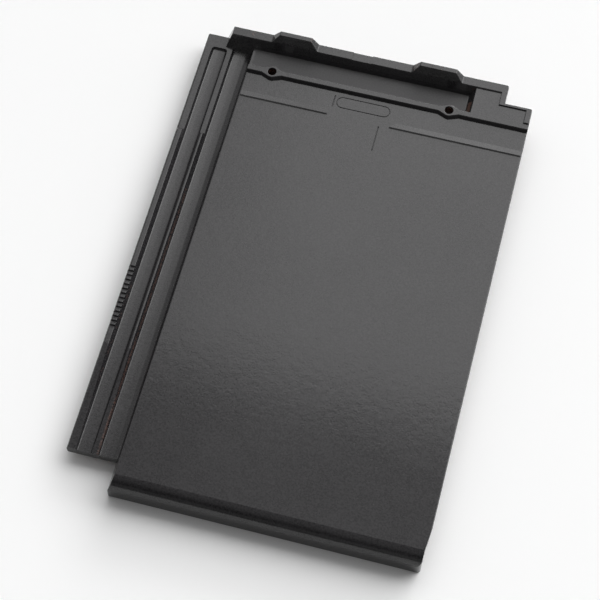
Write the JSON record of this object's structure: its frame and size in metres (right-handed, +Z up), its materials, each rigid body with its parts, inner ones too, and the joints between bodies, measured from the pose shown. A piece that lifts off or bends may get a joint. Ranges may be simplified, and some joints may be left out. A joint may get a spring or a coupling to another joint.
{
  "type": "clay roof tile",
  "caption": "Flat interlocking clay roof tile with a ribbed side lock, a rounded nose and a raised head with nail holes.",
  "frame": {"origin": "on the floor under the middle of the tile's outline, where its nose lip and batten nibs rest", "axes": "+Y up the slope from the nose to the head, +X across the width away from the side lock, +Z up out of the tile's face"},
  "size_m": [0.306, 0.455, 0.0388],
  "materials": {
    "engobed_clay": "satin"
  },
  "bodies": {
    "root": {"roof_tile": "engobed_clay"}
  },
  "joints": []
}
